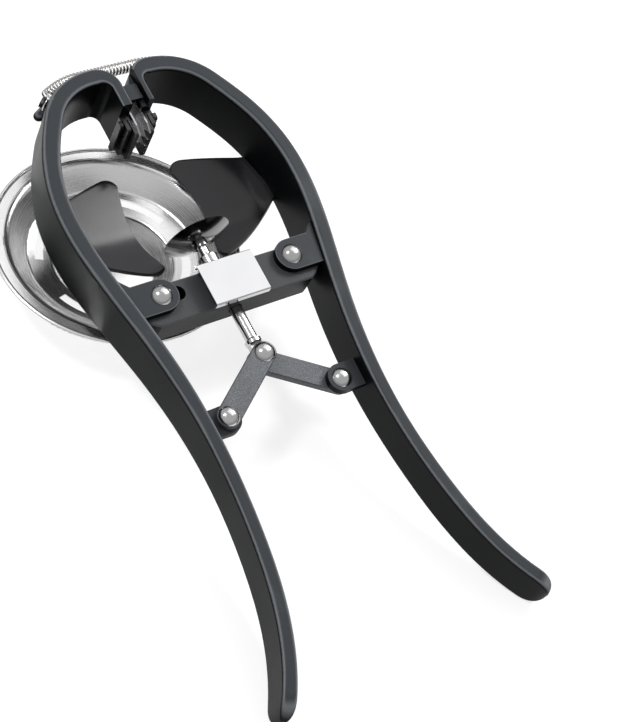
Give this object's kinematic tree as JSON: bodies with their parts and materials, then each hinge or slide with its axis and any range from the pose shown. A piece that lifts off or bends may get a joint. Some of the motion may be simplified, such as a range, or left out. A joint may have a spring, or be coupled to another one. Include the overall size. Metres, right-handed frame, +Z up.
{
  "type": "egg opener",
  "caption": "Squeeze-handle egg opener with sprung arms, toggle links, plunger and cradle wings, laid across a slotted steel separator dish.",
  "frame": {"origin": "middle of the footprint of the set on the table", "axes": "+Z up from the table, +Y from the handle ends to the jaws, X across the arms"},
  "size_m": [0.1134, 0.2258, 0.0529],
  "materials": {
    "arm_plastic": "fine satin texture",
    "bar_plastic": "speckled texture",
    "tooth_plastic": "satin",
    "wing_plastic": "glossy",
    "cap_chrome": "polished",
    "polished_steel": "polished",
    "spring_steel": "polished",
    "blade_steel": "ground",
    "link_metal": "textured paint",
    "dish_steel": "satin"
  },
  "bodies": {
    "crossbar": {"crossbar": "bar_plastic", "chrome_cap": "cap_chrome", "guide_bush": "polished_steel", "left_pivot_rivet": "polished_steel", "right_pivot_rivet": "polished_steel", "return_spring": "spring_steel"},
    "left_arm": {"left_arm": "arm_plastic", "left_wing": "wing_plastic", "left_tooth_block": "tooth_plastic", "left_blade": "blade_steel", "left_link_rivet": "polished_steel"},
    "right_arm": {"right_arm": "arm_plastic", "right_wing": "wing_plastic", "right_tooth_block": "tooth_plastic", "right_blade": "blade_steel", "right_link_rivet": "polished_steel"},
    "plunger": {"plunger_rod": "polished_steel", "plunger_disc": "polished_steel", "centre_rivet": "polished_steel"},
    "left_link": {"left_link": "link_metal"},
    "right_link": {"right_link": "link_metal"},
    "dish": {"separator_dish": "dish_steel"}
  },
  "joints": [
    {"name": "left_arm_hinge", "type": "hinge", "parent": "crossbar", "child": "left_arm", "pos_m": [-0.02074, 0.02275, 0.02992], "axis": [0, -0.1558, 0.9878], "range_deg": [0, 14], "stiffness_Nm_per_rad": 0.6, "springref_deg": -11.46, "deforming": ["return_spring"]},
    {"name": "right_arm_hinge", "type": "hinge", "parent": "crossbar", "child": "right_arm", "pos_m": [0.02926, 0.02275, 0.02992], "axis": [0, -0.1558, 0.9878], "range_deg": [-14, 0], "deforming": ["return_spring"]},
    {"name": "plunger_slide", "type": "slide", "parent": "crossbar", "child": "plunger", "axis": [0, 0.9878, 0.1558], "range_m": [0, 0.0113]},
    {"name": "left_link_hinge", "type": "hinge", "parent": "plunger", "child": "left_link", "pos_m": [0.00426, -0.0052, 0.02551], "axis": [0, -0.1558, 0.9878], "range_deg": [0, 30.1]},
    {"name": "right_link_hinge", "type": "hinge", "parent": "plunger", "child": "right_link", "pos_m": [0.00426, -0.0052, 0.02551], "axis": [0, -0.1558, 0.9878], "range_deg": [-30.1, 0]},
    {"name": "dish_slide", "type": "slide", "parent": "crossbar", "child": "dish", "axis": [0, 1, 0], "range_m": [0, 0.1]}
  ],
  "couplings": [
    {"joint": "right_arm_hinge", "follows": "left_arm_hinge", "ratio": -1},
    {"joint": "plunger_slide", "follows": "left_arm_hinge", "m_per_rad": 0.0461},
    {"joint": "left_link_hinge", "follows": "left_arm_hinge", "ratio": 2.1407},
    {"joint": "right_link_hinge", "follows": "left_arm_hinge", "ratio": -2.1407}
  ]
}
